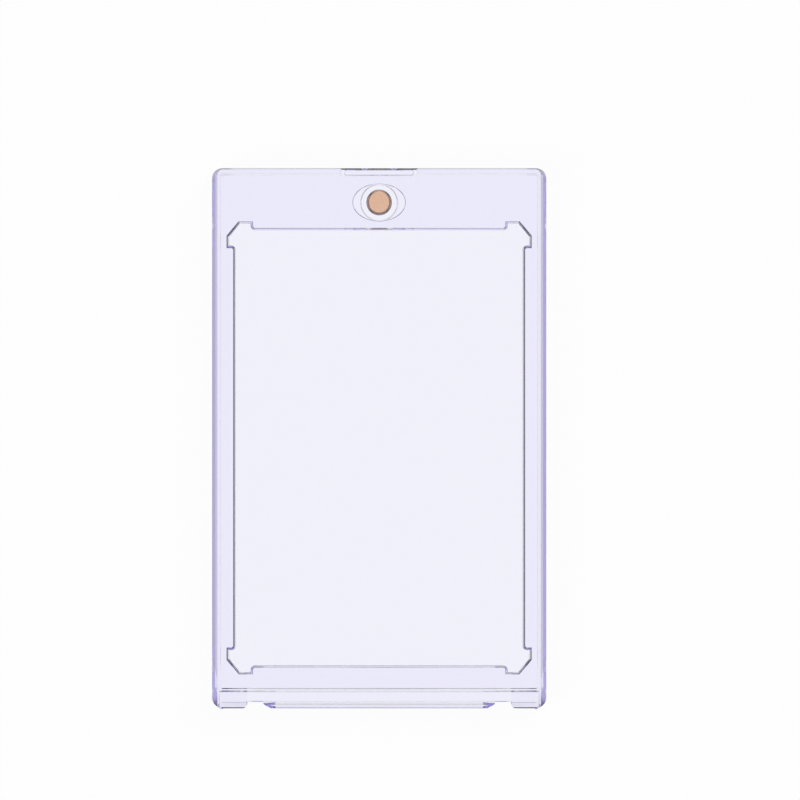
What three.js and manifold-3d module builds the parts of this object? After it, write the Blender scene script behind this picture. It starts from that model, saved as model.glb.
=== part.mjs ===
// A clear two-part card case: a tray, a cover that hooks round a hinge bar, and a magnet catch.
// Units are millimetres. The case lies on its back: +X runs across it, +Y from the hinge end to the
// catch end, and +Z out of its face. The origin is the centre of the back face.
import * as THREE from 'three';
import { mergeVertices } from 'three/addons/utils/BufferGeometryUtils.js';
import Module from 'manifold-3d';

// Card pocket, half of its depth in the tray and half in the cover
const pocketWidth = 65;
const pocketLength = 98.2;
const cardRoom = 4.6;
const pocketDraft = 0.2;
const pocketRimRadius = 0.3;
const pocketFloorRadius = 0.25;

// Reliefs that keep the four card corners off the walls
const earReach = 1.5;
const earSpanAcross = 4.15;
const earSpanAlong = 4.25;
const earCutAcross = 2.65;
const earCutAlong = 3.2;
const earRootRadius = 0.6;

// Walls of the case. The side walls lean in from the back edge to the rim.
const sideMargin = 5;
const sideRail = 1.8;
const endRail = 1.45;
const coverGap = 0.22;
const backWindow = 2.75;
const frontWindow = 2.7;
const faceRecess = 0.35;
const seatGap = 0.2;
const sideLean = 1.28;
const catchLean = 0.3;
const cornerRadius = 2.3;
const rimCornerRadius = 1.25;
const seatCornerRadius = 0.8;
const backEdgeRadius = 0.5;
const rimEdgeRadius = 0.15;
const catchEdgeRadius = 0.35;
const seatEdgeRadius = 0.08;
const coverEdgeRadius = 0.12;
const coverEndLean = 0.28;
const coverEndLeanDepth = 2;

// Hinge bar of the tray and hook of the cover
const barSize = 2.46;
const barLean = 0.22;
const barEdgeRadius = 0.45;
const barCreaseRadius = 0.12;
const barGap = 0.32;
const hookGap = 0.38;
const hookWall = 1.16;
const hookWidth = 52;
const hookToeGap = 0.08;
const hookTipWall = 0.26;
const hookTipDrop = 1.5;
const hookHeelRadius = 0.9;
const hookThroatRadius = 0.3;
const hookEndTaper = 1.2;
const hookEndBevel = 2.8;
const hookNotchGap = 3.6;
const coverEndWall = 4.88;
const footRadius = 1.1;
const toeBevel = 1.15;
const toeBevelDrop = 2.3;
const toeLean = 0.35;
const toeLeanDrop = 3.2;
const ledgeToeDrop = 1.5;
const ledgeToeInset = 0.75;
const ledgeEdgeRadius = 0.33;

// Magnet catch: a round well in the tray and an oval one in the cover, each with a socket at its end
const magnetDiameter = 5.7;
const magnetThickness = 3;
const magnetEdgeRadius = 0.55;
const magnetInset = 0.05;
const socketGap = 0.05;
const wellRoom = 1.35;
const trayWellDepth = 2.6;
const coverWellDepth = 2;
const ovalStretch = 3.4;
const wellRimRadius = 0.15;
const trayWellDraft = 0.25;
const coverWellDraft = 0.18;
const catchOuterWall = 1.93;
const catchInnerWall = 1.62;

// Thumb lip of the cover and its notch in the tray
const lipWidth = 15.5;
const lipThickness = 2.6;
const lipInset = 0.5;
const lipBite = 0.25;
const lipEdgeRadius = 0.35;
const lipCornerRadius = 0.2;
const thumbGap = 0.9;
const nailRoom = 1.5;
const notchCornerRadius = 0.6;
const notchEdgeRadius = 0.35;
const nailGrooveDepth = 0.45;
const nailGrooveHeight = 3.2;
const nailGrooveDrop = 1.2;
const nailGrooveLand = 0.3;

// Overrun of every cut, bite of every joined piece, and facet counts
const overrun = 1;
const bite = 1;
const weldDistance = 1e-5;
const cornerSteps = 10;
const edgeSteps = 8;
const smallEdgeSteps = 4;
const earRootSteps = 5;
const roundSteps = 64;
const half = 0.5;
const quarterTurn = Math.PI * half;
const halfTurn = Math.PI;

// Levels, from the back face up
const trayFloor = backWindow + cardRoom * half;
const coverBack = trayFloor + seatGap;
const cardCeiling = backWindow + cardRoom;
const face = cardCeiling + frontWindow;
const railTop = face + faceRecess;

// Plan of the case
const barOffset = hookToeGap + hookWall + hookGap;
const hingeMargin = barOffset + barSize + barGap + coverEndWall;
const wellWidth = magnetDiameter + 2 * wellRoom;
const socketWidth = magnetDiameter + 2 * socketGap;
const socketDepth = magnetInset + magnetThickness + socketGap;
const coverSideInset = sideRail + coverGap;
const coverEndInset = endRail + coverGap;
const catchMargin = coverEndInset + catchOuterWall + wellWidth + catchInnerWall;
const halfWidth = pocketWidth * half + sideMargin;
const halfLength = (hingeMargin + pocketLength + catchMargin) * half;
const pocketBottom = -halfLength + hingeMargin;
const pocketCentreY = pocketBottom + pocketLength * half;
const barOuter = -halfLength + barOffset;
const barInner = barOuter + barSize;
const coverEnd = barInner + barGap;
const catchY = halfLength - coverEndInset - catchOuterWall - wellWidth * half;
const hinge = new THREE.Vector3(0, barOuter + barSize * half, face - barSize * half);

const wasm = await Module();
wasm.setup();

// Turns a closed three.js geometry into a solid that can be joined and cut.
function solid(geometry) {
  const bare = geometry.clone();
  bare.deleteAttribute('normal');
  bare.deleteAttribute('uv');
  const merged = mergeVertices(bare, weldDistance);
  const corners = merged.index.array;
  const kept = [];
  for (let i = 0; i < corners.length; i += 3) {
    const [a, b, c] = corners.slice(i, i + 3);
    if (a !== b && b !== c && c !== a) kept.push(a, b, c);
  }
  return new wasm.Manifold(new wasm.Mesh({
    numProp: 3,
    vertProperties: new Float32Array(merged.attributes.position.array),
    triVerts: new Uint32Array(kept),
  }));
}

// Turns a solid back into a geometry.
function geometryOf(body) {
  const mesh = body.getMesh();
  const geometry = new THREE.BufferGeometry();
  geometry.setAttribute('position', new THREE.BufferAttribute(mesh.vertProperties, 3));
  geometry.setIndex(new THREE.BufferAttribute(mesh.triVerts, 1));
  geometry.computeVertexNormals();
  return geometry;
}

// Joins the first solid with the others.
function join(first, ...others) {
  return others.reduce((whole, piece) => whole.add(piece), first);
}

// Cuts the others out of the first solid.
function cut(first, ...others) {
  return others.reduce((whole, piece) => whole.subtract(piece), first);
}

// The outline moved outwards by an amount, corner by corner; inwards where the amount is negative.
function grown(outline, amount) {
  return outline.map((point, i) => {
    const before = outline[(i + outline.length - 1) % outline.length];
    const after = outline[(i + 1) % outline.length];
    const first = new THREE.Vector2(point.y - before.y, before.x - point.x).normalize();
    const second = new THREE.Vector2(after.y - point.y, point.x - after.x).normalize();
    const step = first.clone().add(second).multiplyScalar(amount / (1 + first.dot(second)));
    return point.clone().add(step);
  });
}

// A closed solid lofted through outlines with as many points each, every one at its own height.
function loft(rings) {
  const count = rings[0][0].length;
  const positions = rings.flatMap(([outline, z]) => outline.flatMap((p) => [p.x, p.y, z]));
  const index = [];
  for (let ring = 0; ring < rings.length - 1; ring += 1) {
    for (let i = 0; i < count; i += 1) {
      const a = ring * count + i;
      const b = ring * count + ((i + 1) % count);
      index.push(a, b, b + count, a, b + count, a + count);
    }
  }
  const top = (rings.length - 1) * count;
  for (const [a, b, c] of THREE.ShapeUtils.triangulateShape(rings[0][0], [])) {
    index.push(a, c, b);
  }
  for (const [a, b, c] of THREE.ShapeUtils.triangulateShape(rings.at(-1)[0], [])) {
    index.push(top + a, top + b, top + c);
  }
  const geometry = new THREE.BufferGeometry();
  geometry.setAttribute('position', new THREE.Float32BufferAttribute(positions, 3));
  geometry.setIndex(index);
  return solid(geometry);
}

// A closed solid whose section is the outline, grown by each ring's amount at that ring's height.
function stack(outline, rings) {
  return loft(rings.map(([amount, z]) => [grown(outline, amount), z]));
}

// How far a rounded edge stands in from its wall, at a distance from the face that it rounds into.
function edgeInset(distance, radius) {
  const rest = Math.max(0, radius - distance);
  return radius - Math.sqrt(radius ** 2 - rest ** 2);
}

// Rings of a rounded lower edge: a quarter circle from the flat end at z up to the full outline.
function roundedFoot(z, radius, steps, base = 0) {
  return Array.from({ length: steps + 1 }, (_, i) => {
    const a = quarterTurn * i / steps;
    return [base - radius * (1 - Math.sin(a)), z + radius * (1 - Math.cos(a))];
  });
}

// Rings of a rounded upper edge: a quarter circle from the full outline to the flat end at z.
function roundedTop(z, radius, steps, base = 0) {
  return Array.from({ length: steps + 1 }, (_, i) => {
    const a = quarterTurn * i / steps;
    return [base - radius * (1 - Math.cos(a)), z - radius * (1 - Math.sin(a))];
  });
}

// Rings of a cutter's mouth that leaves a rounded rim where it comes out upwards at z.
function flaredTop(z, radius, steps) {
  const rings = Array.from({ length: steps + 1 }, (_, i) => {
    const a = quarterTurn * i / steps;
    return [radius * (1 - Math.cos(a)), z - radius * (1 - Math.sin(a))];
  });
  return [...rings, [radius, z + overrun]];
}

// The same for a cutter that comes out downwards at z.
function flaredFoot(z, radius, steps) {
  const rings = Array.from({ length: steps + 1 }, (_, i) => {
    const a = quarterTurn * i / steps;
    return [radius * (1 - Math.sin(a)), z + radius * (1 - Math.cos(a))];
  });
  return [[radius, z - overrun], ...rings];
}

// A rectangle with round corners, as outline points in anticlockwise order.
function roundedRectangle(x0, x1, y0, y1, radius, steps = cornerSteps) {
  const corners = [[x1, y1, -1, -1], [x0, y1, 1, -1], [x0, y0, 1, 1], [x1, y0, -1, 1]];
  return corners.flatMap(([x, y, sx, sy], corner) => Array.from({ length: steps + 1 }, (_, i) => {
    const a = quarterTurn * (corner + i / steps);
    return new THREE.Vector2(
      x + sx * radius + radius * Math.cos(a),
      y + sy * radius + radius * Math.sin(a),
    );
  }));
}

// A circle about the catch as outline points in anticlockwise order, or an oval where it is stretched.
function placedOval(width, stretch = 0) {
  const curve = new THREE.EllipseCurve(0, catchY, (width + stretch) * half, width * half);
  return curve.getPoints(roundSteps).slice(0, -1);
}

// The card pocket with its four corner reliefs. Each corner is drawn in distances in from the
// pocket's own corner, from the long side round to the short side, and is mirrored to its place.
function pocketOutline() {
  const arc = (cx, cy, from) => Array.from({ length: earRootSteps + 1 }, (_, i) => {
    const a = from - quarterTurn * i / earRootSteps;
    return [cx + earRootRadius * Math.cos(a), cy + earRootRadius * Math.sin(a)];
  });
  const corner = [
    ...arc(-earRootRadius, earSpanAlong + earRootRadius, 0),
    [-earReach, earSpanAlong],
    [-earReach, earCutAlong - earReach],
    [earCutAcross - earReach, -earReach],
    [earSpanAcross, -earReach],
    ...arc(earSpanAcross + earRootRadius, -earRootRadius, halfTurn),
  ];
  const quarters = [[1, 1], [-1, 1], [-1, -1], [1, -1]];
  return quarters.flatMap(([sx, sy]) => {
    const placed = corner.map(([across, along]) => new THREE.Vector2(
      sx * (pocketWidth * half - across),
      pocketCentreY + sy * (pocketLength * half - along),
    ));
    return sx * sy > 0 ? placed : placed.reverse();
  });
}

// A prism along X from a section drawn in Y and Z.
function prismX(section, x0, x1) {
  const geometry = new THREE.ExtrudeGeometry(section, { depth: x1 - x0, bevelEnabled: false });
  const turn = new THREE.Matrix4().makeBasis(
    new THREE.Vector3(0, 1, 0),
    new THREE.Vector3(0, 0, 1),
    new THREE.Vector3(1, 0, 0),
  );
  return solid(geometry.applyMatrix4(turn).translate(x0, 0, 0));
}

// A prism along Y from a section drawn in X and Z.
function prismY(section, y0, y1) {
  const geometry = new THREE.ExtrudeGeometry(section, { depth: y1 - y0, bevelEnabled: false });
  const turn = new THREE.Matrix4().makeBasis(
    new THREE.Vector3(1, 0, 0),
    new THREE.Vector3(0, 0, 1),
    new THREE.Vector3(0, -1, 0),
  );
  return solid(geometry.applyMatrix4(turn).translate(0, y1, 0));
}

// A prism along Z from an outline drawn in plan.
function prismZ(section, z0, z1) {
  const geometry = new THREE.ExtrudeGeometry(section, { depth: z1 - z0, bevelEnabled: false });
  return solid(geometry.translate(0, 0, z0));
}

// Points of an arc about (y, z), from one angle to another.
function arcPoints(y, z, radius, from, to, steps) {
  return Array.from({ length: steps + 1 }, (_, i) => {
    const a = from + (to - from) * i / steps;
    return new THREE.Vector2(y + radius * Math.cos(a), z + radius * Math.sin(a));
  });
}

// Half of the section of a round body with rounded rims, from its lower end on the axis to its upper.
function roundedProfile(radius, low, high, rimRadius, steps) {
  const rim = (height, from) => (
    arcPoints(radius - rimRadius, height, rimRadius, from, from + quarterTurn, steps)
  );
  return [
    new THREE.Vector2(0, low),
    ...rim(low + rimRadius, -quarterTurn),
    ...rim(high - rimRadius, 0),
    new THREE.Vector2(0, high),
  ];
}

// The corner left over outside a quarter circle, to round an edge that runs along X. The edge is at
// (y, z), and the signs say on which side of it the open air lies.
function edgeRounder(y, z, radius, sideY, sideZ, reach, steps) {
  const arc = arcPoints(y - sideY * radius, z - sideZ * radius, radius, 0, quarterTurn, steps);
  const centreY = y - sideY * radius;
  const centreZ = z - sideZ * radius;
  const placed = arc.map((p) => new THREE.Vector2(
    centreY + sideY * (p.x - centreY),
    centreZ + sideZ * (p.y - centreZ),
  ));
  const section = new THREE.Shape([
    ...placed,
    new THREE.Vector2(centreY, z + sideZ * overrun),
    new THREE.Vector2(y + sideY * overrun, z + sideZ * overrun),
    new THREE.Vector2(y + sideY * overrun, centreZ),
  ]);
  return prismX(section, -reach, reach);
}

// The wedge off the hinge bar's inner side, which makes it lean back from the cover towards its top.
function barLeanCutter(reach) {
  const section = new THREE.Shape([
    new THREE.Vector2(barInner, face - barSize),
    new THREE.Vector2(barInner + overrun, face - barSize),
    new THREE.Vector2(barInner + overrun, face + overrun),
    new THREE.Vector2(barInner - barLean, face + overrun),
    new THREE.Vector2(barInner - barLean, face),
  ]);
  return prismX(section, -reach, reach);
}

// The opening under the hinge bar, which leaves the bar flat below with two rounded edges.
function underBarCutter(reach) {
  const edge = face - barSize + barEdgeRadius;
  const inner = barInner - barEdgeRadius;
  const outer = barOuter + barEdgeRadius;
  const section = new THREE.Shape([
    new THREE.Vector2(barOuter - overrun, trayFloor),
    new THREE.Vector2(barInner + overrun, trayFloor),
    new THREE.Vector2(barInner + overrun, edge),
    ...arcPoints(inner, edge, barEdgeRadius, 0, -quarterTurn, smallEdgeSteps),
    ...arcPoints(outer, edge, barEdgeRadius, -quarterTurn, -halfTurn, smallEdgeSteps),
    new THREE.Vector2(barOuter - overrun, edge),
  ]);
  return prismX(section, -reach, reach);
}

// The notch in the hinge end that the hook stands in, open through the whole thickness. Its mouth
// widens round the two feet.
function hookNotchCutter(reach) {
  const toe = -halfLength;
  const corner = reach + footRadius;
  const side = [
    new THREE.Vector2(corner, toe - overrun),
    ...arcPoints(corner, toe + footRadius, footRadius, -quarterTurn, -halfTurn, cornerSteps),
    new THREE.Vector2(reach, barOuter),
  ];
  const mirrored = side.map((p) => new THREE.Vector2(-p.x, p.y)).reverse();
  return prismZ(new THREE.Shape([...side, ...mirrored]), -overrun, railTop + overrun);
}

// The step down from the side rails to the hinge bar and feet. Its sides curve in at the toe, where
// a bevel and a steep lean below it run down the feet.
function ledgeCutter() {
  const x = halfWidth - sideRail;
  const toe = -halfLength;
  const bend = (ledgeToeDrop ** 2 + ledgeToeInset ** 2) / (2 * ledgeToeInset);
  const sweep = Math.asin(ledgeToeDrop / bend);
  const side = [
    ...arcPoints(x - bend, toe + ledgeToeDrop, bend, -sweep, 0, smallEdgeSteps),
    new THREE.Vector2(x, coverEnd),
  ];
  const outer = new THREE.Vector2(x - ledgeToeInset, toe - overrun);
  const all = [outer, ...side];
  const mirrored = all.map((p) => new THREE.Vector2(-p.x, p.y)).reverse();
  const outline = [...all, ...mirrored];
  const step = stack(outline, [[0, face], ...flaredTop(railTop, ledgeEdgeRadius, smallEdgeSteps)]);
  const inside = stack(outline, [[0, 0], [0, railTop + overrun]]);
  const bevel = prismX(new THREE.Shape([
    new THREE.Vector2(toe - overrun, face - toeBevelDrop - toeLeanDrop),
    new THREE.Vector2(toe, face - toeBevelDrop - toeLeanDrop),
    new THREE.Vector2(toe + toeLean, face - toeBevelDrop),
    new THREE.Vector2(toe + toeLean + toeBevel, face),
    new THREE.Vector2(toe + toeLean + toeBevel, railTop + overrun),
    new THREE.Vector2(toe - overrun, railTop + overrun),
  ]), -halfWidth, halfWidth);
  return join(step, bevel.intersect(inside));
}

// The thumb notch through the catch end's rail, with a bevelled groove below it for the nail.
function thumbCutter() {
  const reach = lipWidth * half + thumbGap;
  const notchFloor = railTop - lipThickness - nailRoom;
  const inner = halfLength - coverEndInset;
  const notch = stack(
    roundedRectangle(-reach, reach, inner - overrun, halfLength + overrun, notchCornerRadius),
    [...roundedFoot(notchFloor, notchEdgeRadius, smallEdgeSteps), [0, railTop + overrun]],
  );
  const grooveTop = notchFloor - nailGrooveLand;
  const grooveFoot = grooveTop - nailGrooveHeight;
  const grooveFloor = halfLength - nailGrooveDepth;
  const groove = prismX(new THREE.Shape([
    new THREE.Vector2(halfLength, grooveTop),
    new THREE.Vector2(grooveFloor, grooveTop - nailGrooveDrop),
    new THREE.Vector2(grooveFloor, grooveFoot + nailGrooveDepth),
    new THREE.Vector2(halfLength, grooveFoot),
    new THREE.Vector2(halfLength + overrun, grooveFoot),
    new THREE.Vector2(halfLength + overrun, grooveTop),
  ]), -reach, reach);
  return join(notch, groove);
}

// The tray's outer form. Its side walls lean in towards the rim, its catch end a little, and its
// toe stands upright.
function shellSolid() {
  const levels = [
    ...roundedFoot(0, backEdgeRadius, edgeSteps),
    ...roundedTop(railTop, catchEdgeRadius, edgeSteps),
  ];
  return loft(levels.map(([, z]) => {
    const share = Math.max(0, z - backEdgeRadius) / (railTop - backEdgeRadius);
    const edge = edgeInset(z, backEdgeRadius) + edgeInset(railTop - z, rimEdgeRadius);
    const catchEdge = edgeInset(z, backEdgeRadius) + edgeInset(railTop - z, catchEdgeRadius);
    const x = halfWidth - sideLean * share - edge;
    const radius = THREE.MathUtils.lerp(cornerRadius, rimCornerRadius, share) - edge;
    const y = halfLength - catchLean * share - catchEdge;
    return [roundedRectangle(-x, x, edge - halfLength, y, radius), z];
  }));
}

// The tray: back window, floor, rails on three sides, feet and the hinge bar.
function trayGeometry() {
  const seatX = halfWidth - sideRail;
  const seat = stack(
    roundedRectangle(-seatX, seatX, barInner, halfLength - endRail, seatCornerRadius),
    [[0, trayFloor], ...flaredTop(railTop, seatEdgeRadius, smallEdgeSteps)],
  );
  const pocket = stack(pocketOutline(), [
    ...roundedFoot(backWindow, pocketFloorRadius, smallEdgeSteps, -pocketDraft),
    ...flaredTop(trayFloor, pocketRimRadius, smallEdgeSteps),
  ]);
  const well = stack(placedOval(wellWidth), [
    [-trayWellDraft, trayFloor - trayWellDepth],
    ...flaredTop(trayFloor, wellRimRadius, smallEdgeSteps),
  ]);
  const socket = stack(placedOval(socketWidth), [[0, trayFloor - socketDepth], [0, trayFloor]]);
  const notchReach = hookWidth * half + hookNotchGap;
  return geometryOf(cut(
    shellSolid(),
    seat,
    ledgeCutter(),
    underBarCutter(notchReach),
    hookNotchCutter(notchReach),
    barLeanCutter(seatX),
    edgeRounder(barInner - barLean, face, barCreaseRadius, 1, 1, seatX, smallEdgeSteps),
    edgeRounder(barOuter, face, barEdgeRadius, -1, 1, notchReach, smallEdgeSteps),
    pocket,
    well,
    socket,
    thumbCutter(),
  ));
}

// The hook's section round the hinge bar, from the cover's end face to its thin tip. It runs flat
// under the bar and up past the bar's outer side, and its back leans in to the tip.
function hookSection() {
  const inner = barSize * half + hookGap;
  const outer = inner + hookWall;
  const root = barSize * half + barGap;
  const heel = hookHeelRadius - outer;
  const throat = hookThroatRadius - inner;
  const tipRadius = hookTipWall * half;
  const tip = barSize * half - hookTipDrop - tipRadius;
  const points = [
    new THREE.Vector2(root + bite, -outer),
    ...arcPoints(heel, heel, hookHeelRadius, -quarterTurn, -halfTurn, edgeSteps),
    ...arcPoints(-inner - tipRadius, tip, tipRadius, halfTurn, 0, smallEdgeSteps),
    ...arcPoints(throat, throat, hookThroatRadius, halfTurn, halfTurn + quarterTurn, smallEdgeSteps),
    ...arcPoints(root - hookThroatRadius, throat, hookThroatRadius, -quarterTurn, 0, smallEdgeSteps),
    new THREE.Vector2(root + bite, throat),
  ];
  return new THREE.Shape(points.map((p) => new THREE.Vector2(p.x + hinge.y, p.y + hinge.z)));
}

// The wedges off the two ends of the hook's outer wall: one narrows it towards the toe of the case,
// and one bevels it from below.
function hookEndCutters() {
  const reach = hookWidth * half;
  const toe = -halfLength;
  const wall = barOuter - hookGap;
  const top = face - hookTipDrop;
  const foot = hinge.z - barSize * half - hookGap - hookWall;
  const taper = [
    [reach - hookEndTaper, toe - overrun],
    [reach - hookEndTaper, toe + hookToeGap],
    [reach, wall],
    [reach + overrun, wall],
    [reach + overrun, toe - overrun],
  ];
  const bevel = [
    [reach, top],
    [reach - hookEndBevel, foot],
    [reach - hookEndBevel, foot - overrun],
    [reach + overrun, foot - overrun],
    [reach + overrun, top],
  ];
  return [1, -1].flatMap((side) => {
    const placed = (points) => (
      new THREE.Shape(points.map(([x, other]) => new THREE.Vector2(side * x, other)))
    );
    return [
      prismZ(placed(taper), 0, railTop + overrun),
      prismY(placed(bevel), toe - overrun, wall),
    ];
  });
}

// The cover: front window, thumb lip, hook, its half of the pocket and the oval magnet well.
function coverGeometry() {
  const x = halfWidth - coverSideInset;
  const plate = stack(
    roundedRectangle(-x, x, coverEnd, halfLength - coverEndInset, seatCornerRadius - coverGap),
    [
      ...roundedFoot(coverBack, coverEdgeRadius, smallEdgeSteps),
      ...roundedTop(face, coverEdgeRadius, smallEdgeSteps),
    ],
  );
  const endLean = prismX(new THREE.Shape([
    new THREE.Vector2(coverEnd - overrun, face - coverEndLeanDepth),
    new THREE.Vector2(coverEnd, face - coverEndLeanDepth),
    new THREE.Vector2(coverEnd + coverEndLean, face),
    new THREE.Vector2(coverEnd + coverEndLean, face + overrun),
    new THREE.Vector2(coverEnd - overrun, face + overrun),
  ]), -halfWidth, halfWidth);
  const lip = stack(
    roundedRectangle(
      -lipWidth * half,
      lipWidth * half,
      halfLength - coverEndInset - lipBite,
      halfLength - lipInset,
      lipCornerRadius + lipEdgeRadius,
    ),
    [
      ...roundedFoot(railTop - lipThickness, lipEdgeRadius, smallEdgeSteps),
      ...roundedTop(railTop, lipEdgeRadius, smallEdgeSteps),
    ],
  );
  const hook = cut(prismX(hookSection(), -hookWidth * half, hookWidth * half), ...hookEndCutters());
  const pocket = stack(pocketOutline(), [
    ...flaredFoot(coverBack, pocketRimRadius, smallEdgeSteps),
    ...roundedTop(cardCeiling, pocketFloorRadius, smallEdgeSteps, -pocketDraft),
  ]);
  const well = stack(placedOval(wellWidth, ovalStretch), [
    ...flaredFoot(coverBack, wellRimRadius, smallEdgeSteps),
    [-coverWellDraft, coverBack + coverWellDepth],
  ]);
  const socket = stack(placedOval(socketWidth), [[0, coverBack], [0, coverBack + socketDepth]]);
  return geometryOf(cut(join(cut(plate, endLean), lip, hook), pocket, well, socket));
}

// A plated disc magnet with rounded rims, turned about its axis and stood on the XY plane.
function magnetGeometry() {
  const profile = roundedProfile(magnetDiameter * half, 0, magnetThickness, magnetEdgeRadius, edgeSteps);
  return geometryOf(solid(new THREE.LatheGeometry(profile, roundSteps).rotateX(quarterTurn)));
}

const tintedPlastic = new THREE.MeshStandardMaterial({
  color: 0xe9e6fa, roughness: 0.05, metalness: 0, transparent: true, opacity: 0.35,
});
const goldPlate = new THREE.MeshStandardMaterial({ color: 0xdcb49a, roughness: 0.3, metalness: 1 });

// A named mesh at its place.
function piece(name, geometry, material, x = 0, y = 0, z = 0) {
  const mesh = new THREE.Mesh(geometry, material);
  mesh.name = name;
  mesh.position.set(x, y, z);
  return mesh;
}

const trayMagnetFoot = trayFloor - magnetInset - magnetThickness;
const coverMagnetFoot = coverBack + magnetInset;

const tray = new THREE.Group();
tray.add(piece('base_tray', trayGeometry(), tintedPlastic));
tray.add(piece('base_magnet', magnetGeometry(), goldPlate, 0, catchY, trayMagnetFoot));

// The cover turns about the hinge bar, so its group stands at the bar's axis.
const cover = new THREE.Group();
const magnetY = catchY - hinge.y;
cover.position.copy(hinge);
cover.add(piece('front_cover', coverGeometry(), tintedPlastic, 0, -hinge.y, -hinge.z));
cover.add(piece('cover_magnet', magnetGeometry(), goldPlate, 0, magnetY, coverMagnetFoot - hinge.z));

const cardCase = new THREE.Group();
cardCase.add(tray, cover);

export default cardCase;
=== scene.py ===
"""A clear card case with a hooked cover and a magnet catch: its pieces, its finishes and its stage.

The case lies on its back. +X runs across it, +Y from the hinge end to the catch end, +Z out of its
face. Every length in the settings is in metres.
"""

import math

import bmesh
import bpy
import numpy as np
from bpy.props import (
    FloatProperty, FloatVectorProperty, IntProperty, PointerProperty, StringProperty,
)
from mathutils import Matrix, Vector


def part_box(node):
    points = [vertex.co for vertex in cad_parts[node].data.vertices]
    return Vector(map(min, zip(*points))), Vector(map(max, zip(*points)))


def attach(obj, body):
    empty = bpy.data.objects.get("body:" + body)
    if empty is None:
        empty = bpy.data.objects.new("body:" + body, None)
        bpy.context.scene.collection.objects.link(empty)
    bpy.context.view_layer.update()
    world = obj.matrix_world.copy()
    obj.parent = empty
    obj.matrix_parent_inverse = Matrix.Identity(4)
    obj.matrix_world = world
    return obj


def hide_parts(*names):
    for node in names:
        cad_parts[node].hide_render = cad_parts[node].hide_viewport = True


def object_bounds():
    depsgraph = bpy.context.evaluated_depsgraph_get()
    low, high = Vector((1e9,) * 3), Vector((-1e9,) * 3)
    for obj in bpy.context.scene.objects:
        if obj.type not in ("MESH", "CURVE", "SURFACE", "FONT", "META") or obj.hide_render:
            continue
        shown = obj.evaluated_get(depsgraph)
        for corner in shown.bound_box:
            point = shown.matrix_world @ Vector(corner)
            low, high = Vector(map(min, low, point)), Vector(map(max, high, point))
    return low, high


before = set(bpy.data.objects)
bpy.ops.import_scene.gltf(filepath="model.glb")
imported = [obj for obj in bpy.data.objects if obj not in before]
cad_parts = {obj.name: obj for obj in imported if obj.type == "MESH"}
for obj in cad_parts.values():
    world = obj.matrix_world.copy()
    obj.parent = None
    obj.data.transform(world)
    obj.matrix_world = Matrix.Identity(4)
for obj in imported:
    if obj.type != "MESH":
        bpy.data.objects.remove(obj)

bl_info = {
    "name": "Magnet Catch Card Case",
    "version": (1, 0, 0),
    "blender": (4, 5, 0),
    "location": "3D View > Sidebar > Card Case",
    "description": "Builds a clear card case with a hooked cover and a magnet catch",
    "category": "Object",
}

MM = 0.001
CAD_BOX = [list(corner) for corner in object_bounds()]
SIDE = CAD_BOX[1][0]
TOE = CAD_BOX[0][1]
WELD_DISTANCE = 1e-3 * MM
SHORTEST_NORMAL = 1e-30
PHOTO_PIXELS = 800
SENSOR_MM = 36.0
CAMERA_REACH = 100.0
WHITE = (1.0, 1.0, 1.0, 1.0)

# Clear plastic: its refraction, the lie of its hairlines, and the levels of noise over which
# hairlines and haze set in
POLYSTYRENE_IOR = 1.59
HAIRLINE_TURN = (0.0, 0.0, math.radians(28.0))
HAIRLINE_STRETCH = (1.0, 34.0, 8.0)
HAIRLINE_ONSET = {"From Min": 0.66, "From Max": 0.8}
HAZE_ONSET = {"From Min": 0.45, "From Max": 0.75}

# Plating: how steeply its side turns to painted shade, the levels of noise that the grain spans,
# and how strongly the pits show
SIDE_SHADE_ONSET = {"From Min": 0.05, "From Max": 0.6}
GRAIN_SPAN = {"From Min": 0.3, "From Max": 0.7}
PIT_STRENGTH = 0.6

# Table: its flecks, and where its painted glow and painted shade sit beside the case
FLECK_MM = 3.0
FLECK_TONE = {"To Min": 0.9, "To Max": 0.92}
PAINTED_GLOW_ONSET = 0.5 * MM
SHADE_INSIDE = 0.75

# Where painted shade darkens slanted looks through the plastic, in wall widths in from the long
# sides and in from the toe: start, full and end. Over the feet the painted shade stands further
# out by the clearance, up to the two distances.
SIDE_PAINTED_SHADE = (2.8, 1.9, -1.0)
TOE_PAINTED_SHADE = (-2.0, 1.0, 2.2)
FOOT_CLEARANCE = 2.0
FOOT_REACH = (3.6, 5.0)

# Scrim and lamps: the cosines over which the scrim's edge fades, and the lamps' places and size
SCRIM_EDGE = {"From Min": 0.5, "From Max": 0.85}
LAMP_PLACES = {"lamp_left": (-0.9, -0.5, 1.1), "lamp_right": (0.9, 0.6, 1.1)}
LAMP_SIZE = 0.8


def linear(text):
    """An sRGB colour written as RRGGBB, as linear red, green, blue and an alpha of 1."""
    code = int(text, 16)
    channels = np.array([code >> 16 & 255, code >> 8 & 255, code & 255]) / 255.0
    curved = ((channels + 0.055) / 1.055) ** 2.4
    return (*np.where(channels <= 0.04045, channels / 12.92, curved).tolist(), 1.0)


def add_node(tree, kind, inputs=None, **settings):
    """Adds a node. The settings are its attributes, and each input takes a value or another
    node's output."""
    made = tree.nodes.new(kind)
    for name, value in settings.items():
        setattr(made, name, value)
    for name, value in (inputs or {}).items():
        socket = made.inputs[name]
        if isinstance(value, bpy.types.NodeSocket):
            tree.links.new(value, socket)
        else:
            socket.default_value = value
    return made


def new_material(name):
    """An empty node material and its output node."""
    material = bpy.data.materials.new(name)
    material.use_nodes = True
    material.node_tree.nodes.clear()
    output = material.node_tree.nodes.new("ShaderNodeOutputMaterial")
    return material, material.node_tree, output


def repeats(size_mm):
    """How often a pattern of that size in millimetres repeats in one metre."""
    return 1.0 / (size_mm * MM)


def size_of(tree, value):
    """A value without its sign."""
    return add_node(tree, "ShaderNodeMath", {0: value}, operation="ABSOLUTE").outputs["Value"]


# Finishes

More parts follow.
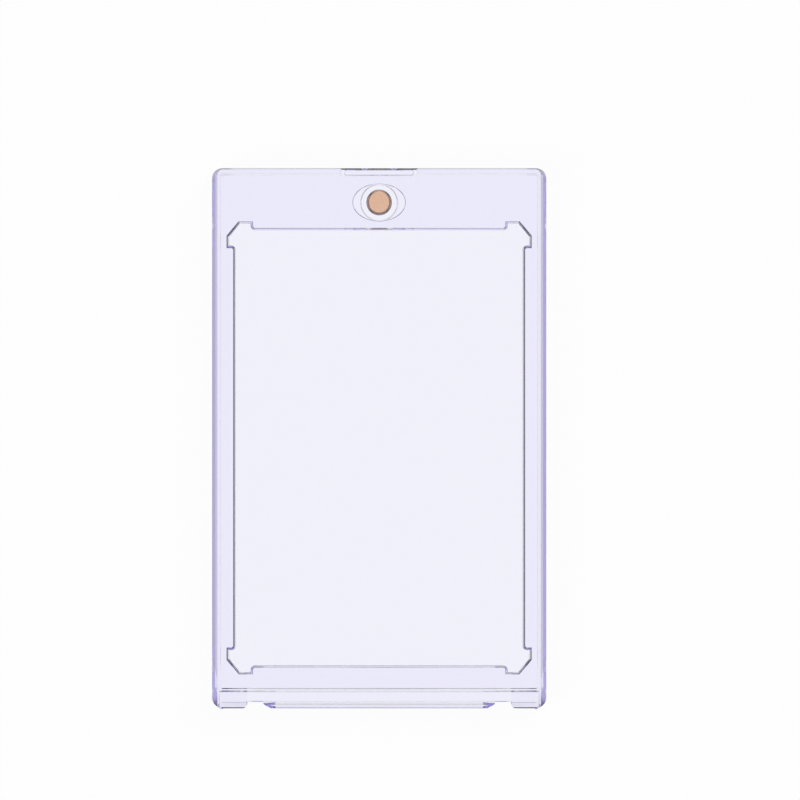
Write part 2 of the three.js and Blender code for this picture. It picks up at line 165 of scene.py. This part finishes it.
def moulded_polystyrene(tint):
    """Clear polystyrene with a violet stabiliser, injection moulded in a polished tool. The polish
    gives it a sharp gloss, the flow of the melt leaves the faces faintly wavy, and handling adds
    hairlines and a trace of haze. The tint builds up with the depth of plastic that is looked
    through, so edges look much deeper than windows."""
    material, tree, output = new_material("injection_moulded_clear_polystyrene")
    place = add_node(tree, "ShaderNodeTexCoord").outputs["Object"]
    flow = add_node(tree, "ShaderNodeTexNoise", {
        "Vector": place, "Scale": repeats(tint.flow_mm), "Detail": 1.0, "Roughness": 0.4,
    })
    turned = add_node(tree, "ShaderNodeMapping", {
        "Vector": place, "Rotation": HAIRLINE_TURN, "Scale": HAIRLINE_STRETCH,
    })
    hairline = add_node(tree, "ShaderNodeTexNoise", {
        "Vector": turned.outputs["Vector"], "Scale": repeats(tint.hairline_mm), "Detail": 2.0,
    })
    scratched = add_node(tree, "ShaderNodeMapRange", {
        "Value": hairline.outputs["Fac"], **HAIRLINE_ONSET,
    })
    smear = add_node(tree, "ShaderNodeTexNoise", {
        "Vector": place, "Scale": repeats(tint.smear_mm), "Detail": 3.0, "Roughness": 0.6,
    })
    haze = add_node(tree, "ShaderNodeMapRange", {
        "Value": smear.outputs["Fac"], **HAZE_ONSET,
        "To Min": tint.gloss_roughness, "To Max": tint.haze_roughness,
    })
    worn = add_node(tree, "ShaderNodeMath", {
        0: scratched.outputs["Result"], 1: tint.hairline_roughness, 2: haze.outputs["Result"],
    }, operation="MULTIPLY_ADD")
    wave = add_node(tree, "ShaderNodeBump", {
        "Strength": 1.0, "Distance": tint.flow_height, "Height": flow.outputs["Fac"],
    })
    surface = add_node(tree, "ShaderNodeBsdfPrincipled", {
        "Base Color": WHITE,
        "Roughness": worn.outputs["Value"],
        "IOR": POLYSTYRENE_IOR,
        "Transmission Weight": 1.0,
        "Normal": wave.outputs["Normal"],
    })
    depth = add_node(tree, "ShaderNodeVolumeAbsorption", {
        "Color": linear(tint.tint_colour), "Density": tint.tint_density,
    })
    tree.links.new(surface.outputs["BSDF"], output.inputs["Surface"])
    tree.links.new(depth.outputs["Volume"], output.inputs["Volume"])
    return material


def gold_plated_magnet(plating):
    """Sintered magnet, tumbled and then plated with nickel and a flash of gold. The tumbling gives
    it rounded rims and a satin, slightly pitted skin, and the thin gold leaves a warm pink tone.
    Its side takes a dark colour: painted shade from the socket."""
    material, tree, output = new_material("tumbled_gold_flash_plating")
    coordinates = add_node(tree, "ShaderNodeTexCoord").outputs
    place = coordinates["Object"]
    facing = add_node(tree, "ShaderNodeSeparateXYZ", {"Vector": coordinates["Normal"]}).outputs
    # Painted shade on the side: 0 where the normal lies flat, 1 on the end faces
    end = add_node(tree, "ShaderNodeMapRange", {
        "Value": size_of(tree, facing["Z"]), **SIDE_SHADE_ONSET,
    }, interpolation_type="SMOOTHSTEP")
    grain = add_node(tree, "ShaderNodeTexNoise", {
        "Vector": place, "Scale": repeats(plating.grain_mm), "Detail": 3.0, "Roughness": 0.6,
    })
    cloud = add_node(tree, "ShaderNodeTexNoise", {
        "Vector": place, "Scale": repeats(plating.cloud_mm), "Detail": 2.0,
    })
    tone = add_node(tree, "ShaderNodeMixRGB", {
        "Fac": cloud.outputs["Fac"],
        "Color1": linear(plating.gold_colour),
        "Color2": linear(plating.nickel_colour),
    })
    # Painted shade: the side takes the dark colour, the end faces keep the gold
    side_in_painted_shade = add_node(tree, "ShaderNodeMixRGB", {
        "Fac": end.outputs["Result"],
        "Color1": linear(plating.shaded_side_colour),
        "Color2": tone.outputs["Color"],
    })
    satin = add_node(tree, "ShaderNodeMapRange", {
        "Value": grain.outputs["Fac"], **GRAIN_SPAN,
        "To Min": plating.satin_low, "To Max": plating.satin_high,
    })
    pits = add_node(tree, "ShaderNodeBump", {
        "Strength": PIT_STRENGTH, "Distance": plating.grain_height, "Height": grain.outputs["Fac"],
    })
    surface = add_node(tree, "ShaderNodeBsdfPrincipled", {
        "Base Color": side_in_painted_shade.outputs["Color"],
        "Metallic": 1.0,
        "Roughness": satin.outputs["Result"],
        "Normal": pits.outputs["Normal"],
    })
    tree.links.new(surface.outputs["BSDF"], output.inputs["Surface"])
    return material


def band(tree, value, start, full, end):
    """A soft band over a value: 0 up to the start, 1 where it is full, and 0 again from the end."""
    rising = add_node(tree, "ShaderNodeMapRange", {
        "Value": value, "From Min": start, "From Max": full,
    }, interpolation_type="SMOOTHSTEP")
    falling = add_node(tree, "ShaderNodeMapRange", {
        "Value": value, "From Min": full, "From Max": end, "To Min": 1.0, "To Max": 0.0,
    }, interpolation_type="SMOOTHSTEP")
    return add_node(tree, "ShaderNodeMath", {
        0: rising.outputs["Result"], 1: falling.outputs["Result"],
    }, operation="MULTIPLY").outputs["Value"]


def outside_gloss(tree, ray):
    """1 for a ray off a reflection, and 0 for any other, also for one out of clear plastic."""
    return add_node(tree, "ShaderNodeMath", {
        0: ray["Is Glossy Ray"], 1: ray["Is Transmission Ray"],
    }, operation="SUBTRACT", use_clamp=True).outputs["Value"]


def painted_glow_and_shade_beside_case(tree, place, stage):
    """The colour of the table in outside reflections: grey, with a painted violet glow beside the
    case's long sides and a painted shade at the toe."""
    parts = add_node(tree, "ShaderNodeSeparateXYZ", {"Vector": place}).outputs
    across = size_of(tree, parts["X"])
    shade_end = TOE + SHADE_INSIDE * stage.shade_reach
    # Painted glow: violet painted into the table's reflected colour beside the long sides
    painted_violet = add_node(tree, "ShaderNodeMixRGB", {
        "Fac": band(tree, across, SIDE - PAINTED_GLOW_ONSET, SIDE, SIDE + stage.painted_glow_reach),
        "Color1": linear(stage.gloss_colour),
        "Color2": linear(stage.painted_glow_colour),
    })
    # Painted shade: a dark colour painted into the table's reflected colour at the toe
    return add_node(tree, "ShaderNodeMixRGB", {
        "Fac": band(tree, parts["Y"], TOE - stage.shade_reach, TOE, shade_end),
        "Color1": painted_violet.outputs["Color"],
        "Color2": linear(stage.shade_colour),
    }).outputs["Color"]


def level_under_painted_shade(tree, place, stage):
    """How bright the table is through the plastic, with painted shade: slanted looks are darkened
    where the case's long sides and its hinge end stand on it. Over the feet the sides' painted
    shade stands further out, so that the feet's bevels stay light."""
    wall = stage.wall_width
    parts = add_node(tree, "ShaderNodeSeparateXYZ", {"Vector": place}).outputs
    clearance = add_node(tree, "ShaderNodeMapRange", {
        "Value": parts["Y"],
        "From Min": TOE + FOOT_REACH[0] * wall, "From Max": TOE + FOOT_REACH[1] * wall,
        "To Min": FOOT_CLEARANCE * wall, "To Max": 0.0,
    })
    across = add_node(tree, "ShaderNodeMath", {
        0: size_of(tree, parts["X"]), 1: clearance.outputs["Result"],
    }, operation="SUBTRACT").outputs["Value"]
    # Painted shade mask: where the long sides and the hinge end stand on the table
    walls = add_node(tree, "ShaderNodeMath", {
        0: band(tree, across, *(SIDE - step * wall for step in SIDE_PAINTED_SHADE)),
        1: band(tree, parts["Y"], *(TOE + step * wall for step in TOE_PAINTED_SHADE)),
    }, operation="MAXIMUM")
    # Painted shade by slant: grazing looks through the plastic darken the table
    slant = add_node(tree, "ShaderNodeLayerWeight", {"Blend": 0.5})
    painted_slant_shade = add_node(tree, "ShaderNodeMapRange", {
        "Value": slant.outputs["Facing"], "From Min": stage.slant_shade_start, "From Max": stage.slant_shade_end,
        "To Min": 0.0, "To Max": 1.0 - stage.grazing_shade_level,
    }, interpolation_type="SMOOTHSTEP")
    painted_shade_amount = add_node(tree, "ShaderNodeMath", {
        0: walls.outputs["Value"], 1: painted_slant_shade.outputs["Result"],
    }, operation="MULTIPLY")
    return add_node(tree, "ShaderNodeMath", {
        0: 1.0, 1: painted_shade_amount.outputs["Value"],
    }, operation="SUBTRACT").outputs["Value"]


def studio_table(stage):
    """White laminate, pressed smooth. It keeps a soft shadow for the eye, and shows as clean white
    through clear plastic, with painted shade for slanted looks under the long sides and the hinge
    end. In outside gloss it shows a painted violet glow beside its long sides, standing in for the
    light that the tinted case lets out, and a painted shade at its toe."""
    material, tree, output = new_material("white_laminate_sweep")
    ray = add_node(tree, "ShaderNodeLightPath").outputs
    place = add_node(tree, "ShaderNodeTexCoord").outputs["Object"]
    fleck = add_node(tree, "ShaderNodeTexNoise", {"Vector": place, "Scale": repeats(FLECK_MM)})
    paper = add_node(tree, "ShaderNodeMapRange", {
        "Value": fleck.outputs["Fac"], **FLECK_TONE,
    })
    lit = add_node(tree, "ShaderNodeBsdfDiffuse", {"Color": paper.outputs["Result"]})
    # Seen through the plastic, the table carries the painted shade under the walls
    through = add_node(tree, "ShaderNodeMath", {
        0: ray["Is Transmission Ray"], 1: level_under_painted_shade(tree, place, stage),
    }, operation="MULTIPLY")
    below = add_node(tree, "ShaderNodeVectorMath", {
        0: linear(stage.through_colour)[:3], "Scale": through.outputs["Value"],
    }, operation="SCALE")
    plain = add_node(tree, "ShaderNodeMixRGB", {
        "Fac": ray["Is Camera Ray"], "Color1": below.outputs["Vector"], "Color2": WHITE,
    })
    # Outside reflections see the table with its painted glow and painted shade
    colour = add_node(tree, "ShaderNodeMixRGB", {
        "Fac": outside_gloss(tree, ray), "Color1": plain.outputs["Color"],
        "Color2": painted_glow_and_shade_beside_case(tree, place, stage),
    })
    white = add_node(tree, "ShaderNodeEmission", {
        "Color": colour.outputs["Color"], "Strength": 1.0,
    })
    seen = add_node(tree, "ShaderNodeMath", {
        0: ray["Is Camera Ray"], 1: stage.table_white,
    }, operation="MULTIPLY")
    mirrored = add_node(tree, "ShaderNodeMath", {
        0: ray["Is Glossy Ray"], 1: ray["Is Transmission Ray"],
    }, operation="MAXIMUM")
    share = add_node(tree, "ShaderNodeMath", {
        0: mirrored.outputs["Value"], 1: stage.table_white_in_gloss, 2: seen.outputs["Value"],
    }, operation="MULTIPLY_ADD")
    mixed = add_node(tree, "ShaderNodeMixShader", {
        "Fac": share.outputs["Value"], 1: lit.outputs["BSDF"], 2: white.outputs["Emission"],
    })
    tree.links.new(mixed.outputs["Shader"], output.inputs["Surface"])
    return material


# Meshes

def mesh_object(name, mesh, material):
    """A named object of a mesh, at the origin, with its one material."""
    made = bpy.data.objects.new(name, mesh)
    mesh.materials.clear()
    mesh.materials.append(material)
    bpy.context.scene.collection.objects.link(made)
    return made


def corner_normals(mesh, spread):
    """The shading normal of each corner of a triangle mesh: the mean of the normals of the faces
    round its vertex that lie within the spread angle of its own face, each weighted by its area
    squared. So flat faces stay flat right up to their rounded edges."""
    corners, faces = len(mesh.loops), len(mesh.polygons)
    vertex = np.empty(corners, dtype=np.int64)
    normal = np.empty(faces * 3)
    area = np.empty(faces)
    mesh.loops.foreach_get("vertex_index", vertex)
    mesh.polygons.foreach_get("normal", normal)
    mesh.polygons.foreach_get("area", area)
    normal = normal.reshape(-1, 3)
    face = np.repeat(np.arange(faces), 3)
    by_vertex = np.argsort(vertex, kind="stable")
    around = np.bincount(vertex, minlength=len(mesh.vertices))
    first = (np.cumsum(around) - around)[vertex]
    size = around[vertex]
    own = np.repeat(np.arange(corners), size)
    rank = np.arange(size.sum()) - np.repeat(np.cumsum(size) - size, size)
    other = by_vertex[np.repeat(first, size) + rank]
    alike = (normal[face[own]] * normal[face[other]]).sum(axis=1) > math.cos(spread)
    weight = area[face[other]] ** 2 * alike
    mean = np.stack([
        np.bincount(own, weights=weight * normal[face[other], axis], minlength=corners)
        for axis in range(3)
    ], axis=-1)
    length = np.linalg.norm(mean, axis=1, keepdims=True)
    return np.where(length > 0.0, mean / np.maximum(length, SHORTEST_NORMAL), normal[face])


def merged_copy(name, node, material, spread):
    """A copy of a CAD node's mesh with its loose triangles joined, shaded smooth over its roundings
    and flat elsewhere."""
    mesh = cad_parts[node].data.copy()
    mesh.name = name
    work = bmesh.new()
    work.from_mesh(mesh)
    bmesh.ops.remove_doubles(work, verts=work.verts, dist=WELD_DISTANCE)
    work.to_mesh(mesh)
    work.free()
    mesh.shade_smooth()
    mesh.normals_split_custom_set(corner_normals(mesh, spread).tolist())
    return mesh_object(name, mesh, material)


def turned_disc(name, low, high, rim, material, around, along):
    """A disc turned about its axis, as a surface of two parameters: the turn about the axis, and
    the way along a profile that runs out over the lower face, round the lower rim, up the side,
    round the upper rim and back in to the axis. Both poles are closed with a fan."""
    centre = (low + high) / 2.0
    radius = (high.x - low.x) / 2.0
    bend = np.linspace(0.0, math.pi / 2.0, along)
    face = np.linspace(0.0, radius - rim, along)[1:-1]
    out = np.concatenate([
        face, radius - rim + rim * np.sin(bend), radius - rim + rim * np.cos(bend), face[::-1],
    ])
    up = np.concatenate([
        np.full(face.shape, low.z), low.z + rim - rim * np.cos(bend),
        high.z - rim + rim * np.sin(bend), np.full(face.shape, high.z),
    ])
    turn = np.linspace(0.0, 2.0 * math.pi, around, endpoint=False)
    ring = np.stack([
        centre.x + np.outer(out, np.cos(turn)),
        centre.y + np.outer(out, np.sin(turn)),
        np.repeat(up[:, None], around, axis=1),
    ], axis=-1).reshape(-1, 3)
    points = np.concatenate([ring, [[centre.x, centre.y, low.z], [centre.x, centre.y, high.z]]])
    rows, columns = np.meshgrid(np.arange(len(out) - 1), np.arange(around), indexing="ij")
    after = (columns + 1) % around
    quads = np.stack([
        rows * around + columns, rows * around + after,
        (rows + 1) * around + after, (rows + 1) * around + columns,
    ], axis=-1).reshape(-1, 4)
    step = np.arange(around)
    last = (len(out) - 1) * around
    beyond = (step + 1) % around
    foot = np.stack([beyond, step, np.full(around, len(ring))], axis=-1)
    head = np.stack([last + step, last + beyond, np.full(around, len(ring) + 1)], axis=-1)
    mesh = bpy.data.meshes.new(name)
    mesh.from_pydata(points.tolist(), [], quads.tolist() + foot.tolist() + head.tolist())
    mesh.shade_smooth()
    return mesh_object(name, mesh, material)


# Settings

class PlasticSettings(bpy.types.PropertyGroup):
    """The clear plastic of the tray and the cover."""

    tint_colour: StringProperty(
        name="Tint", description="Colour that the depth of plastic tends to, as RRGGBB",
        default="C6B9FA",
    )
    tint_density: FloatProperty(
        name="Tint density", description="How fast the tint builds up, per metre of plastic",
        default=30.0, min=0.0,
    )
    gloss_roughness: FloatProperty(
        name="Gloss", description="Roughness of the clean polished faces",
        default=0.0, min=0.0, max=0.1,
    )
    haze_roughness: FloatProperty(
        name="Haze", description="Roughness where handling has left a trace of haze",
        default=0.006, min=0.0, max=0.1,
    )
    hairline_roughness: FloatProperty(
        name="Hairlines", description="Roughness that a hairline adds",
        default=0.012, min=0.0, max=0.1,
    )
    hairline_mm: FloatProperty(
        name="Hairline length", description="Usual length of a hairline in millimetres",
        default=14.0, min=1.0,
    )
    smear_mm: FloatProperty(
        name="Smear size", description="Size of the patches of haze in millimetres",
        default=22.0, min=1.0,
    )
    flow_mm: FloatProperty(
        name="Flow wave", description="Length of the waves that the melt leaves, in millimetres",
        default=16.0, min=1.0,
    )
    flow_height: FloatProperty(
        name="Flow height", description="Height of the waves that the melt leaves",
        default=0.0006 * MM, unit="LENGTH", precision=6,
    )
    spread: FloatProperty(
        name="Smoothing angle", description="Facets within this angle of each other share shading",
        default=math.radians(20.0), subtype="ANGLE",
    )


class MagnetSettings(bpy.types.PropertyGroup):
    """The two plated disc magnets."""

    rim: FloatProperty(
        name="Rim radius", description="Radius of the tumbled rims", default=0.72 * MM,
        unit="LENGTH", precision=5,
    )
    around: IntProperty(
        name="Steps round", description="Facets round a magnet", default=128, min=12,
    )
    along: IntProperty(
        name="Steps along", description="Facets along each rim", default=16, min=3,
    )
    gold_colour: StringProperty(
        name="Gold", description="Colour of the thicker gold, as RRGGBB", default="F1C096",
    )
    nickel_colour: StringProperty(
        name="Pale gold", description="Colour where the gold is thinner, as RRGGBB",
        default="F5C7A4",
    )
    # Painted shade: the dark colour that the magnet's side is painted, where the socket shades it
    shaded_side_colour: StringProperty(
        name="Painted side shade", description="Colour of the side in painted shade, as RRGGBB", default="5C5470",
    )
    grain_mm: FloatProperty(
        name="Grain", description="Size of the sintered grain in millimetres", default=0.25,
        min=0.01,
    )
    grain_height: FloatProperty(
        name="Grain height", description="Depth of the tumbled pits", default=0.004 * MM,
        unit="LENGTH", precision=6,
    )
    cloud_mm: FloatProperty(
        name="Cloud", description="Size of the changes of tone in millimetres", default=2.4,
        min=0.1,
    )
    satin_low: FloatProperty(
        name="Lowest roughness", description="Roughness of the polished spots", default=0.24,
        min=0.0, max=1.0,
    )
    satin_high: FloatProperty(
        name="Highest roughness", description="Roughness of the satin spots", default=0.36,
        min=0.0, max=1.0,
    )


class StageSettings(bpy.types.PropertyGroup):
    """The table, the studio's light and the camera."""

    table_size: FloatProperty(
        name="Table size", description="Edge of the white table", default=6.0, unit="LENGTH",
    )
    table_gap: FloatProperty(
        name="Table gap", description="Film of air that is left between the case and the table",
        default=0.05 * MM, unit="LENGTH", precision=5,
    )
    table_white: FloatProperty(
        name="Table white", description="Share of clean white that the eye sees in the table",
        default=0.95, min=0.0, max=1.0, subtype="FACTOR",
    )
    table_white_in_gloss: FloatProperty(
        name="Table white in gloss",
        description="Share of clean white that gloss and clear plastic show in the table",
        default=0.95, min=0.0, max=1.0, subtype="FACTOR",
    )
    wall_width: FloatProperty(
        name="Wall width", description="Width of the strip of table that each wall stands over",
        default=1.8 * MM, unit="LENGTH", precision=5,
    )
    # Painted shade: the slants over which the table darkens through the plastic
    slant_shade_start: FloatProperty(
        name="Fade start",
        description="Slant at which the table starts to fade through the plastic",
        default=0.01, min=0.0, max=1.0, subtype="FACTOR",
    )
    slant_shade_end: FloatProperty(
        name="Fade end", description="Slant at which the table has faded through the plastic",
        default=0.08, min=0.0, max=1.0, subtype="FACTOR",
    )
    through_colour: StringProperty(
        name="Table through plastic",
        description="Colour of the table through clear plastic, as RRGGBB", default="FCFDFF",
    )
    # Painted shade: the table's brightness at a grazing look through plastic
    grazing_shade_level: FloatProperty(
        name="Slanted level",
        description="Brightness of the table at a grazing look through plastic",
        default=0.3, min=0.0,
    )
    gloss_colour: StringProperty(
        name="Table in gloss", description="Colour of the table in outside reflections, as RRGGBB",
        default="BCBCBC",
    )
    # Painted glow and painted shade: colours painted into the table's reflected colour beside the
    # long sides and at the toe
    painted_glow_colour: StringProperty(
        name="Glow", description="Colour of the painted glow beside the case, as RRGGBB",
        default="DBD3F6",
    )
    painted_glow_reach: FloatProperty(
        name="Glow reach", description="How far that light reaches over the table",
        default=8.0 * MM, unit="LENGTH",
    )
    shade_colour: StringProperty(
        name="Toe shade", description="Colour of the table in the shade of the toe, as RRGGBB",
        default="61597C",
    )
    shade_reach: FloatProperty(
        name="Shade reach", description="How far the shade of the toe reaches over the table",
        default=4.0 * MM, unit="LENGTH",
    )
    room_level: FloatProperty(
        name="Room level", description="Brightness of the studio's dark walls", default=0.12,
        min=0.0,
    )
    white_in_gloss: FloatProperty(
        name="White in gloss", description="Share of the white backdrop in outside reflections",
        default=0.75, min=0.0, max=1.0, subtype="FACTOR",
    )
    softbox_level: FloatProperty(
        name="Overhead level", description="Brightness of the scrim overhead", default=1.0, min=0.0,
    )
    softbox_tilt: FloatProperty(
        name="Overhead tilt", description="How far the scrim leans to the catch end",
        default=math.radians(18.0), subtype="ANGLE",
    )
    softbox_half_width: FloatProperty(
        name="Overhead half width", description="Half width of the scrim, as a sine of its angle",
        default=0.25, min=0.01, max=0.5,
    )
    lamp_power: FloatProperty(
        name="Lamp power", description="Power of each soft lamp in watts", default=8.0, min=0.0,
    )
    light_bounces: IntProperty(
        name="Light bounces", description="Reflections that light may make inside the plastic",
        default=32, min=4,
    )
    camera_distance: FloatProperty(
        name="Camera distance", description="Height of the camera over the case's face",
        default=2.5, unit="LENGTH",
    )
    pixels_per_mm: FloatProperty(
        name="Scale", description="Pixels of the photograph to a millimetre of the case's face",
        default=4.474, min=0.1,
    )
    frame_offset: FloatVectorProperty(
        name="Frame offset", description="Centre of the view, from the centre of the case",
        size=2, default=(4.67 * MM, 8.53 * MM), unit="LENGTH",
    )


# Operators

class CARDCASE_OT_shells(bpy.types.Operator):
    """Builds the two clear mouldings: the tray and the hooked cover."""

    bl_idname = "cardcase.shells"
    bl_label = "Clear mouldings"

    def execute(self, context):
        """Copies both shells, gives them their plastic and lets each ride on its body."""
        plastic = context.scene.cardcase_plastic
        material = moulded_polystyrene(plastic)
        shells = (
            ("tray_moulding", "base_tray", "base"),
            ("cover_moulding", "front_cover", "cover"),
        )
        for name, node, body in shells:
            shell = merged_copy(name, node, material, plastic.spread)
            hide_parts(node)
            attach(shell, body)
        return {"FINISHED"}


class CARDCASE_OT_magnets(bpy.types.Operator):
    """Builds the two plated disc magnets."""

    bl_idname = "cardcase.magnets"
    bl_label = "Magnets"

    def execute(self, context):
        """Turns each magnet in its socket and lets it ride with the shell that holds it."""
        sizes = context.scene.cardcase_magnet
        material = gold_plated_magnet(sizes)
        magnets = (
            ("tray_magnet_disc", "base_magnet", "base"),
            ("cover_magnet_disc", "cover_magnet", "cover"),
        )
        for name, node, body in magnets:
            low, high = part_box(node)
            disc = turned_disc(name, low, high, sizes.rim, material, sizes.around, sizes.along)
            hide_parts(node)
            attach(disc, body)
        return {"FINISHED"}


class CARDCASE_OT_stage(bpy.types.Operator):
    """Sets up the white table, the studio's light and the camera."""

    bl_idname = "cardcase.stage"
    bl_label = "Stage"

    def execute(self, context):
        """Lays the table, lights it and stands the camera straight over the case."""
        stage = context.scene.cardcase_stage
        self.lay_table(stage)
        self.light_room(context.scene, stage)
        self.hang_lamps(stage)
        self.stand_camera(context.scene, stage)
        context.scene.view_settings.view_transform = "Standard"
        context.scene.cycles.max_bounces = stage.light_bounces
        context.scene.cycles.glossy_bounces = stage.light_bounces
        context.scene.cycles.transmission_bounces = stage.light_bounces
        return {"FINISHED"}

    def lay_table(self, stage):
        """One square under the case, a film of air below its back."""
        half = stage.table_size / 2.0
        level = CAD_BOX[0][2] - stage.table_gap
        corners = [
            (-half, -half, level), (half, -half, level), (half, half, level), (-half, half, level),
        ]
        mesh = bpy.data.meshes.new("table")
        mesh.from_pydata(corners, [], [(0, 1, 2, 3)])
        mesh_object("table", mesh, studio_table(stage))

    def light_room(self, scene, stage):
        """The room by direction: dark walls, and a scrim overhead that is long along the case and
        leans to the catch end."""
        world = bpy.data.worlds.new("studio")
        world.use_nodes = True
        tree = world.node_tree
        tree.nodes.clear()
        direction = add_node(tree, "ShaderNodeTexCoord").outputs["Generated"]
        towards = add_node(tree, "ShaderNodeVectorMath", {
            0: direction,
            1: (0.0, math.sin(stage.softbox_tilt), math.cos(stage.softbox_tilt)),
        }, operation="DOT_PRODUCT")
        along = add_node(tree, "ShaderNodeMapRange", {
            "Value": towards.outputs["Value"], **SCRIM_EDGE,
        }, interpolation_type="SMOOTHSTEP")
        parts = add_node(tree, "ShaderNodeSeparateXYZ", {"Vector": direction}).outputs
        across = add_node(tree, "ShaderNodeMapRange", {
            "Value": size_of(tree, parts["X"]),
            "From Min": stage.softbox_half_width, "From Max": stage.softbox_half_width * 2.0,
            "To Min": 1.0, "To Max": 0.0,
        }, interpolation_type="SMOOTHSTEP")
        scrim = add_node(tree, "ShaderNodeMath", {
            0: along.outputs["Result"], 1: across.outputs["Result"],
        }, operation="MULTIPLY")
        level = add_node(tree, "ShaderNodeMapRange", {
            "Value": scrim.outputs["Value"],
            "To Min": stage.room_level, "To Max": stage.softbox_level,
        })
        ray = add_node(tree, "ShaderNodeLightPath").outputs
        clean = add_node(tree, "ShaderNodeMath", {
            0: outside_gloss(tree, ray), 1: stage.white_in_gloss, 2: ray["Is Camera Ray"],
        }, operation="MULTIPLY_ADD")
        backdrop = add_node(tree, "ShaderNodeBackground", {"Color": WHITE})
        room = add_node(tree, "ShaderNodeBackground", {
            "Color": WHITE, "Strength": level.outputs["Result"],
        })
        mixed = add_node(tree, "ShaderNodeMixShader", {
            "Fac": clean.outputs["Value"],
            1: room.outputs["Background"], 2: backdrop.outputs["Background"],
        })
        output = add_node(tree, "ShaderNodeOutputWorld")
        tree.links.new(mixed.outputs["Shader"], output.inputs["Surface"])
        scene.world = world

    def hang_lamps(self, stage):
        """Two soft lamps, one on each side, high up and turned to the case."""
        for name, place in LAMP_PLACES.items():
            data = bpy.data.lights.new(name, "AREA")
            data.shape = "SQUARE"
            data.size = LAMP_SIZE
            data.energy = stage.lamp_power
            lamp = bpy.data.objects.new(name, data)
            lamp.location = place
            lamp.rotation_euler = Vector(place).to_track_quat("Z", "Y").to_euler()
            lamp.visible_camera = False
            lamp.visible_glossy = False
            lamp.visible_transmission = False
            bpy.context.scene.collection.objects.link(lamp)

    def stand_camera(self, scene, stage):
        """A long lens straight over the case. Its focal length gives the photograph's scale on the
        case's face."""
        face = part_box("front_cover")[1].z
        data = bpy.data.cameras.new("camera")
        data.sensor_width = SENSOR_MM
        data.lens = stage.pixels_per_mm * (stage.camera_distance / MM) * SENSOR_MM / PHOTO_PIXELS
        data.clip_end = CAMERA_REACH
        camera = bpy.data.objects.new("camera", data)
        camera.location = (*stage.frame_offset, face + stage.camera_distance)
        scene.collection.objects.link(camera)
        scene.camera = camera


class CARDCASE_PT_panel(bpy.types.Panel):
    """Lists the steps that build the card case."""

    bl_idname = "CARDCASE_PT_panel"
    bl_label = "Card Case"
    bl_space_type = "VIEW_3D"
    bl_region_type = "UI"
    bl_category = "Card Case"

    def draw(self, context):
        """One button for each step, in order."""
        for step in STEPS:
            self.layout.operator(step.bl_idname)


STEPS = (CARDCASE_OT_shells, CARDCASE_OT_magnets, CARDCASE_OT_stage)
SETTINGS = {
    "cardcase_plastic": PlasticSettings,
    "cardcase_magnet": MagnetSettings,
    "cardcase_stage": StageSettings,
}


def register():
    """Registers the settings, the steps and the panel."""
    for group in SETTINGS.values():
        bpy.utils.register_class(group)
    for name, group in SETTINGS.items():
        setattr(bpy.types.Scene, name, PointerProperty(type=group))
    for step in (*STEPS, CARDCASE_PT_panel):
        bpy.utils.register_class(step)


def unregister():
    """Takes back all that register adds."""
    for step in (CARDCASE_PT_panel, *reversed(STEPS)):
        bpy.utils.unregister_class(step)
    for name in SETTINGS:
        delattr(bpy.types.Scene, name)
    for group in reversed(SETTINGS.values()):
        bpy.utils.unregister_class(group)


def main():
    """Builds the whole scene in order."""
    register()
    bpy.ops.cardcase.shells()
    bpy.ops.cardcase.magnets()
    bpy.ops.cardcase.stage()


if __name__ == "__main__":
    main()
